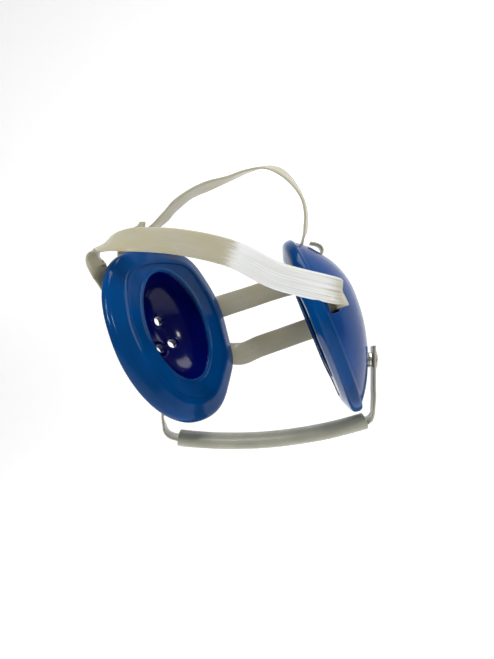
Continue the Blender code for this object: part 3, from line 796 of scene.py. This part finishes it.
def forehead_stations():
    """Over the left window's bar, round in an open loop and down across the front to the right window."""
    left = list(reversed(strap_end("left", "forehead", LOOSE_OVER_BAR)))
    turn = in_cup("left", [((14.5, -37.5, 55.5), (0.2, 0.9, 0.5)),
                           ((12.5, -36.4, 58.5), (0.2, 0.9, 0.4)),
                           ((9.0, -35.5, 59.8), (0.2, 0.9, 0.3)),
                           ((5.0, -35.0, 59.5), (0.1, 0.8, 0.6))])
    front = [((-61.2, -34.5, 68.4), (0.1, 0.7, 0.7)),
             ((-52.0, -36.5, 67.2), (0.1, 0.5, 0.9)),
             ((-43.0, -38.5, 65.3), (0.0, 0.4, 0.9)),
             ((-24.4, -39.0, 60.2), (0.0, 0.3, 1.0)),
             ((-3.5, -39.0, 51.8), (0.1, 0.2, 1.0)),
             ((13.3, -39.0, 42.5), (0.2, 0.2, 1.0)),
             ((33.0, -39.0, 27.0), (0.2, 0.1, 1.0))]
    right = strap_end("right", "forehead", CREASED_END)
    return left + turn + front + right


def crown_stations():
    """Out of the top of the left cup, over the head and down into the top of the right cup."""
    left = list(reversed(strap_end("left", "crown", ROUND_CROWN_BAR)))
    rise = in_cup("left", [((17.6, -7.4, 57.6), (0.0, 1.0, 0.1)),
                           ((15.6, -6.8, 62.4), (0.1, 1.0, 0.2)),
                           ((10.8, -4.4, 66.0), (0.3, 1.0, 0.2)),
                           ((5.0, -0.4, 67.6), (0.5, 1.0, 0.2))])
    over = [((-54.5, 4.5, 74.0), (0.2, -1.0, 0.1)),
            ((-47.5, 6.4, 77.2), (0.2, -1.0, 0.1)),
            ((-39.5, 8.2, 82.0), (0.3, -0.9, 0.3)),
            ((-31.5, 10.0, 88.2), (0.3, -0.9, 0.3)),
            ((-20.5, 12.0, 93.3), (0.3, -0.9, 0.2)),
            ((-7.5, 13.5, 96.0), (0.2, -1.0, 0.2)),
            ((6.0, 15.0, 97.6), (0.1, -1.0, 0.0)),
            ((19.0, 16.0, 99.6), (0.0, -1.0, -0.1)),
            ((31.6, 15.5, 99.2), (-0.1, -1.0, -0.2)),
            ((40.5, 14.7, 94.0), (-0.2, -1.0, -0.2)),
            ((47.3, 14.5, 84.5), (-0.1, -1.0, -0.1)),
            ((51.3, 14.0, 73.0), (0.0, -1.0, 0.0)),
            ((51.4, 13.4, 62.8), (0.0, -1.0, 0.0)),
            ((49.2, 12.4, 54.2), (0.0, -1.0, 0.0))]
    right = strap_end("right", "crown", ROUND_CROWN_BAR)
    return left + rise + over + right


def upper_back_stations():
    left = list(reversed(strap_end("left", "upper_back", OVER_BAR)))
    middle = [((-16.0, 50.0, 17.0), (0.0, 0.1, -1.0)),
              ((-5.0, 56.0, 18.2), (0.0, 0.1, -1.0)),
              ((9.0, 62.8, 20.0), (0.0, 0.1, -1.0)),
              ((22.0, 67.0, 21.2), (0.0, 0.1, -1.0)),
              ((30.0, 67.6, 21.2), (0.0, 0.1, -1.0))]
    return left + middle + strap_end("right", "upper_back", OVER_BAR)


def lower_back_stations():
    left = list(reversed(strap_end("left", "lower_back", OVER_BAR)))
    middle = [((-14.0, 40.5, -20.0), (0.0, 0.1, -1.0)),
              ((-3.0, 48.5, -18.0), (0.0, 0.1, -1.0)),
              ((14.0, 58.0, -16.0), (0.0, 0.1, -1.0)),
              ((28.0, 64.0, -14.2), (0.0, 0.1, -1.0)),
              ((37.0, 65.8, -13.2), (0.0, 0.1, -1.0))]
    return left + middle + strap_end("right", "lower_back", OVER_BAR)


def sleeve_arc(share):
    """A point on the sleeve's arc and the direction there; share runs from 0 at the left end to 1."""
    chord = SLEEVE_RIGHT - SLEEVE_LEFT
    half = chord.length / 2
    radius = (half * half + SLEEVE_SAG * SLEEVE_SAG) / (2 * SLEEVE_SAG)
    run = chord.normalized()
    across = run.cross(Vector((0.0, 0.0, 1.0))).normalized()
    up = across.cross(run)
    centre = (SLEEVE_LEFT + SLEEVE_RIGHT) / 2 + up * (radius - SLEEVE_SAG)
    turn = math.asin(half / radius) * (2 * share - 1)
    point = centre + (run * math.sin(turn) - up * math.cos(turn)) * radius
    tangent = run * math.cos(turn) + up * math.sin(turn)
    return point, tangent, across, centre


def tab_point(side, down_by, level=TAB_LEVEL):
    """A point on the strap's line past the snap, in world millimetres."""
    origin, outwards, down = snap_axes()
    return cup_matrix(side) @ (origin + down * down_by + outwards * level)


def tab_width(side):
    across = snap_axes()[1].cross(snap_axes()[2])
    world = cup_matrix(side).to_3x3() @ across
    return world if world.y > 0 else -world


def chin_stations():
    """From the left snap, down into the sleeve, along it and up to the fold below the right cup."""
    stations = [(tab_point("left", d), tab_width("left")) for d in (TAB_TOP, -3.0, 3.0, 9.0)]
    stations += [((-63.5, -9.5, -44.0), (-0.3, 1.0, 0.0)),
                 ((-63.6, -11.5, -52.0), (-0.3, 1.0, 0.0)),
                 ((-61.0, -13.0, -57.5), (-0.2, 1.0, 0.0))]
    for share in (0.0, 0.12, 0.3, 0.5, 0.7, 0.88, 1.0):
        point, _, across, _ = sleeve_arc(share)
        stations.append((point, -across))
    stations += [((66.2, 8.8, -73.0), (-0.1, 1.0, 0.0)),
                 ((68.4, 8.0, -69.5), (-0.1, 1.0, 0.0)),
                 (tab_point("right", TAB_BOTTOM + 4.0), tab_width("right")),
                 (tab_point("right", TAB_BOTTOM + 0.7), tab_width("right"))]
    return stations


def take(frames, low, high):
    """The frames whose distance along the strap lies between two values."""
    return [f for f in frames if low - 0.001 <= f[3] <= high + 0.001]


def length_at(frames, point):
    """How far along the strap its nearest frame to a point lies."""
    return min(frames, key=lambda f: (f[0] - Vector(point)).length)[3]


def crossing_strap(name, node, stations, middle, material):
    """A strap from cup to cup, in two halves that meet at a middle point."""
    frames = strap_frames(stations)
    split = length_at(frames, middle)
    left = strap_piece(name + "_left", take(frames, 0.0, split), material,
                       (True, False))
    right = strap_piece(name + "_right", take(frames, split, frames[-1][3]), material,
                        (False, True))
    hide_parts(node)
    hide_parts(node)
    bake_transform(left)
    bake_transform(right)


def make_straps():
    # The forehead strap takes the material whose white stretch is partly painted glare.
    crossing_strap("forehead_strap", "forehead_strap", forehead_stations(), (-3.5, -39.0, 51.8),
                   strap_worn_and_glare)
    crossing_strap("crown_strap", "crown_strap", crown_stations(), (-7.5, 13.5, 96.0),
                   strap_cream)
    crossing_strap("upper_back_strap", "upper_back_strap", upper_back_stations(), (9.0, 62.8, 20.0),
                   strap_cream)
    crossing_strap("lower_back_strap", "lower_back_strap", lower_back_stations(), (8.0, 55.0, -16.8),
                   strap_cream)


def make_chin_strap():
    """From the left snap through the sleeve to the fold, and the tab from the fold over the right snap."""
    frames = strap_frames(chin_stations())
    split = length_at(frames, sleeve_arc(0.5)[0])
    left = strap_piece("chin_strap_left", take(frames, 0.0, split), strap_cream,
                       (True, False))
    right = strap_piece("chin_strap_right", take(frames, split, frames[-1][3]), strap_cream,
                        (False, False))
    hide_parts("chin_strap")
    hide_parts("chin_strap")
    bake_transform(left)
    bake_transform(right)
    tab = [(tab_point("right", d), tab_width("right"))
           for d in (TAB_TOP, -3.0, 3.0, 9.0, 15.0, TAB_BOTTOM, TAB_BOTTOM + 0.7)]
    tab_piece = strap_piece("chin_tab_strap", strap_frames(tab, 5), strap_cream, (True, False))
    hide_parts("chin_tab")
    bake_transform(tab_piece)


# ---------------------------------------------------------------- sleeve and snaps

def make_sleeve():
    """A soft flattened tube with rounded ends and a slightly uneven skin."""
    around = 56
    along = 110
    wall = SLEEVE_WALL
    verts = []

    def ring(share, shrink, out):
        point, tangent, across, _ = sleeve_arc(share)
        up = across.cross(tangent)
        for j in range(around):
            a = 2 * math.pi * j / around
            spot = Vector((share * 9.0, math.cos(a) * 1.2, math.sin(a) * 1.2))
            bulge = 1.0 + SLEEVE_UNEVENNESS * noise.noise(spot)
            wide = (SLEEVE_HALF_WIDTH - shrink) * bulge
            high = (SLEEVE_HALF_HEIGHT - shrink) * bulge
            verts.append(point + tangent * out + across * math.cos(a) * wide + up * math.sin(a) * high)

    count = 0
    for share, shrink, out in [(0.0, wall, 0.6), (0.0, wall * 0.85, 0.1), (0.0, wall * 0.5, -0.1),
                               (0.0, wall * 0.15, 0.1), (0.0, 0.0, 0.6)]:
        ring(share, shrink, out)
        count += 1
    for i in range(1, along):
        ring(i / along, 0.0, 0.0)
        count += 1
    for share, shrink, out in [(1.0, 0.0, -0.6), (1.0, wall * 0.15, -0.1), (1.0, wall * 0.5, 0.1),
                               (1.0, wall * 0.85, -0.1), (1.0, wall, -0.6)]:
        ring(share, shrink, out)
        count += 1
    for i in range(along - 1, 0, -2):
        ring(i / along, wall, 0.0)
        count += 1
    sleeve = new_object("chin_strap_sleeve", verts, ring_faces(count, around, True), [sleeve_grey])
    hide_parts("chin_sleeve")
    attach(sleeve, "chin_sleeve")
    return sleeve


def turned(name, side, profile, material):
    """A profile of (radius, height) points turned about the snap's axis."""
    steps = 48
    origin, outwards, _ = snap_axes()
    to_world = cup_matrix(side)
    aside = Vector((0.0, 1.0, 0.0)).cross(outwards).normalized()
    other = outwards.cross(aside)
    verts = []
    for radius, height in profile:
        for i in range(steps):
            a = 2 * math.pi * i / steps
            spoke = aside * math.cos(a) + other * math.sin(a)
            verts.append(to_world @ (origin + outwards * height + spoke * max(radius, 0.01)))
    faces = ring_faces(len(profile), steps, False)
    faces.append(tuple(range(steps)))
    faces.append(tuple(len(verts) - steps + i for i in range(steps)))
    return new_object(name, verts, faces, [material], 40.0)


def make_cap(side, body):
    """The snap's pressed cap: a shallow dish with a rolled rim, and its barrel below."""
    dish = ((0.0, 6.05), (2.2, 6.1), (3.3, 6.35), (4.6, 6.3), (5.6, 5.9), (6.15, 5.45), (6.1, 5.1),
            (5.8, CAP_LEVEL))
    profile = [(p.x, p.y) for p in smooth_path([Vector(p).to_3d() for p in dish], 4)]
    profile += [(1.5, CAP_LEVEL), (1.4, 4.8), (1.4, 3.25), (1.2, 3.15)]
    cap = turned(side + "_press_cap", side, profile, steel)
    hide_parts(side + "_snap_cap")
    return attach(cap, body)


def paint_cad_snaps():
    for side in ("left", "right"):
        for part in ("stud", "eyelet", "socket"):
            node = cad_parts[side + "_snap_" + part]
            node.data.materials.clear()
            node.data.materials.append(steel)


# ---------------------------------------------------------------- camera, lights and backdrop

def make_camera():
    data = bpy.data.cameras.new("camera")
    data.lens = CAMERA_LENS
    data.sensor_width = 36.0
    data.dof.use_dof = False
    camera = bpy.data.objects.new("camera", data)
    roll = math.radians(CAMERA_ROLL)
    forward = (CAMERA_AIM - CAMERA_PLACE).normalized()
    level = forward.cross(Vector((0.0, 0.0, 1.0))).normalized()
    upright = level.cross(forward)
    up = upright * math.cos(roll) + level * math.sin(roll)
    right = forward.cross(up)
    turn = Matrix((right, up, -forward)).transposed().to_4x4()
    camera.matrix_world = Matrix.Translation(CAMERA_PLACE) @ turn
    bpy.context.scene.collection.objects.link(camera)
    bpy.context.scene.camera = camera


def add_area_light(name, place, aim, size, watts):
    data = bpy.data.lights.new(name, "AREA")
    data.shape = "RECTANGLE"
    data.size, data.size_y = size
    data.energy = watts
    light = bpy.data.objects.new(name, data)
    light.location = place
    light.rotation_mode = "QUATERNION"
    light.rotation_quaternion = (Vector(aim) - Vector(place)).to_track_quat("-Z", "Y")
    bpy.context.scene.collection.objects.link(light)


def make_stage():
    """A pale studio sweep: flat floor, wide curve and back wall."""
    floor = -0.30
    back = 1.2
    radius = 0.5
    profile = [(-2.5, floor)]
    steps = 16
    for i in range(steps + 1):
        turn = math.pi / 2 * i / steps
        profile.append((back - radius + radius * math.sin(turn), floor + radius - radius * math.cos(turn)))
    profile.append((back, 2.5))
    verts = []
    for y, z in profile:
        verts += [(-3000.0, y * 1000, z * 1000), (3000.0, y * 1000, z * 1000)]
    faces = [(2 * i, 2 * i + 1, 2 * i + 3, 2 * i + 2) for i in range(len(profile) - 1)]
    paint = Paint("studio_sweep")
    paint.colour(paint.mix(paint.noise(2.0, 2.0), (0.86, 0.86, 0.86), (0.88, 0.88, 0.88)))
    paint.roughness(paint.ramp(paint.noise(30.0), 0.3, 0.7, 0.8, 0.9))
    paint.set(Emission_Color=(1.0, 1.0, 1.0, 1.0), Emission_Strength=0.45)
    sweep = new_object("studio_sweep", verts, faces, [paint.material])


def make_lights():
    world = bpy.data.worlds.new("studio")
    world.use_nodes = True
    world.node_tree.nodes["Background"].inputs["Color"].default_value = (1.0, 1.0, 1.0, 1.0)
    world.node_tree.nodes["Background"].inputs["Strength"].default_value = 0.14
    bpy.context.scene.world = world
    bpy.context.scene.view_settings.view_transform = "Standard"
    add_area_light("top_soft", (0.10, -0.10, 1.0), (0.0, 0.0, 0.0), (0.6, 0.6), 7.5)
    add_area_light("left_tube_a", (-0.75, -0.50, 0.42), (-0.05, 0.0, 0.0), (0.012, 0.4), 1.6)
    add_area_light("left_tube_b", (-0.68, -0.66, 0.42), (-0.05, 0.0, 0.0), (0.012, 0.4), 1.6)
    add_area_light("right_soft", (0.80, 0.00, 0.45), (0.04, 0.0, 0.0), (0.3, 0.5), 2.2)
    add_area_light("front_small", (0.30, -0.95, 0.50), (0.0, 0.0, 0.0), (0.12, 0.12), 1.6)


make_camera()
make_stage()
make_lights()
for cup in ("left", "right"):
    make_shell(cup)
    make_pad(cup)
    make_liner(cup)
make_straps()
make_chin_strap()
make_sleeve()
make_cap("left", "left_cup")
make_cap("right", "chin_tab")
paint_cad_snaps()
